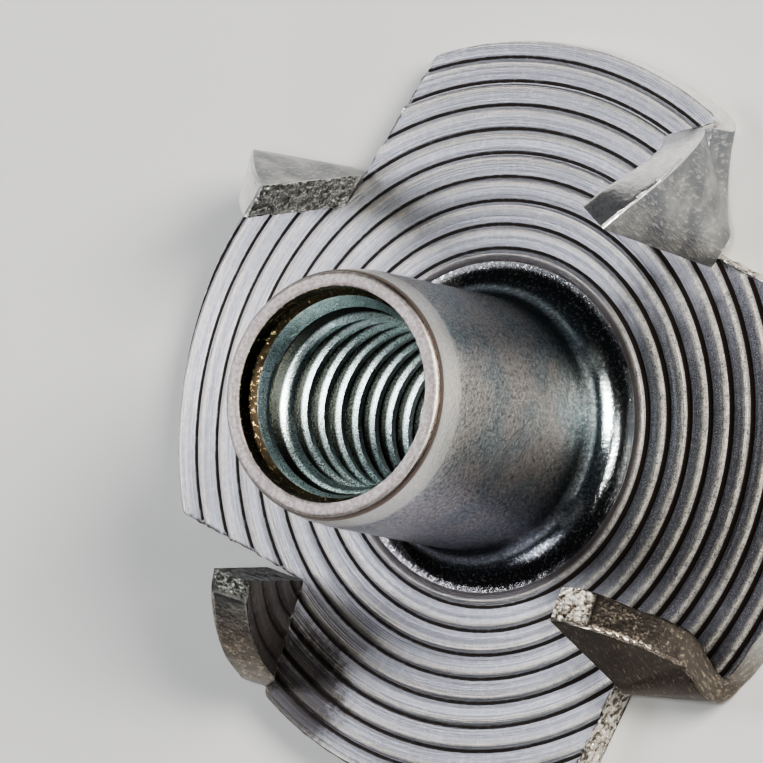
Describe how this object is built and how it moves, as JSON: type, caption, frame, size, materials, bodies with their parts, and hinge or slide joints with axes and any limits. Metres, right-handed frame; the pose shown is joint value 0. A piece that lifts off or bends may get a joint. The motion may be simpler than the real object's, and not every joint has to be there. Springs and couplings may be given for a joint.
{
  "type": "tee nut",
  "caption": "Pronged tee nut: a tapped steel barrel drawn from a round ringed flange, with prongs folded up from notches in its rim.",
  "frame": {"origin": "on the barrel axis, at the back face of the flange", "axes": "+Z along the barrel towards its mouth, so the nut stands on its flange; +X is 44 degrees short of the first notch"},
  "size_m": [0.019, 0.019, 0.0087],
  "materials": {
    "zinc_plate": "zinc plated and clear passivated, satin"
  },
  "bodies": {
    "root": {"tee_nut": "zinc_plate"}
  },
  "joints": []
}
